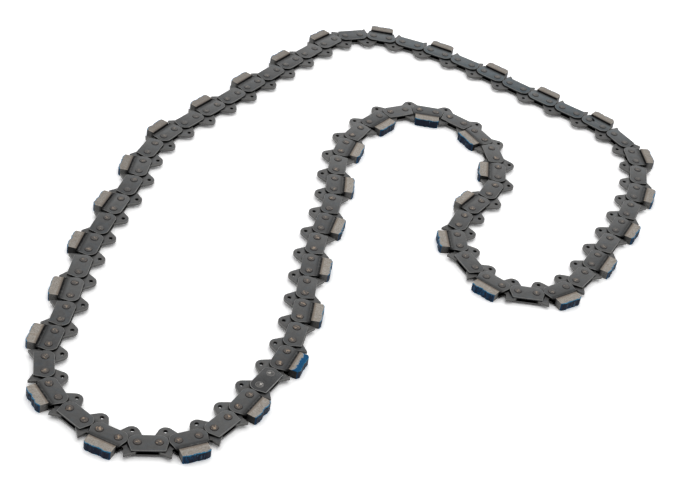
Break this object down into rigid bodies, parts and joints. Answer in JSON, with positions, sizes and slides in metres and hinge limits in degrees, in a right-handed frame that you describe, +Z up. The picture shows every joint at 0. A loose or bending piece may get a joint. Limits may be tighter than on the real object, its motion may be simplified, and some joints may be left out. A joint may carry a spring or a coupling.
{
  "type": "diamond saw chain loop",
  "caption": "Closed loop of riveted saw chain for cutting concrete: drive links with pointed guards and tangs between pairs of side straps, every other pair carrying a diamond segment.",
  "frame": {"origin": "centre of the loop's box, on the surface that the segments lie on", "axes": "+Z up through the flat-lying chain, +Y along the loop's longer side, +X across it"},
  "size_m": [0.319, 0.4162, 0.005],
  "materials": {
    "drive_link_steel": "tumbled hardened steel, satin grey",
    "strap_steel": "tumbled hardened steel, satin grey, with faint blue heat tint",
    "joining_steel": "smooth dark steel",
    "rivet_steel": "peened steel with a brown tint",
    "joining_rivet_steel": "bright peened steel",
    "segment_matrix": "sintered metal with diamond grit, beige grey, cutting face dipped in blue paint"
  },
  "bodies": {
    "root": {"drive_links": "drive_link_steel", "cutter_straps_upper": "strap_steel", "cutter_straps_lower": "strap_steel", "tie_straps_upper": "strap_steel", "tie_straps_lower": "strap_steel", "joining_strap_upper": "joining_steel", "joining_strap_lower": "joining_steel", "rivets": "rivet_steel", "joining_rivets": "joining_rivet_steel", "diamond_segment_01": "segment_matrix", "diamond_segment_02": "segment_matrix", "diamond_segment_03": "segment_matrix", "diamond_segment_04": "segment_matrix", "diamond_segment_05": "segment_matrix", "diamond_segment_06": "segment_matrix", "diamond_segment_07": "segment_matrix", "diamond_segment_08": "segment_matrix", "diamond_segment_09": "segment_matrix", "diamond_segment_10": "segment_matrix", "diamond_segment_11": "segment_matrix", "diamond_segment_12": "segment_matrix", "diamond_segment_13": "segment_matrix", "diamond_segment_14": "segment_matrix", "diamond_segment_15": "segment_matrix", "diamond_segment_16": "segment_matrix", "diamond_segment_17": "segment_matrix", "diamond_segment_18": "segment_matrix", "diamond_segment_19": "segment_matrix", "diamond_segment_20": "segment_matrix", "diamond_segment_21": "segment_matrix", "diamond_segment_22": "segment_matrix", "diamond_segment_23": "segment_matrix", "diamond_segment_24": "segment_matrix", "diamond_segment_25": "segment_matrix", "diamond_segment_26": "segment_matrix", "diamond_segment_27": "segment_matrix", "diamond_segment_28": "segment_matrix", "diamond_segment_29": "segment_matrix", "diamond_segment_30": "segment_matrix", "diamond_segment_31": "segment_matrix", "diamond_segment_32": "segment_matrix", "diamond_segment_33": "segment_matrix", "diamond_segment_34": "segment_matrix", "diamond_segment_35": "segment_matrix", "diamond_segment_36": "segment_matrix", "diamond_segment_37": "segment_matrix"}
  },
  "joints": []
}
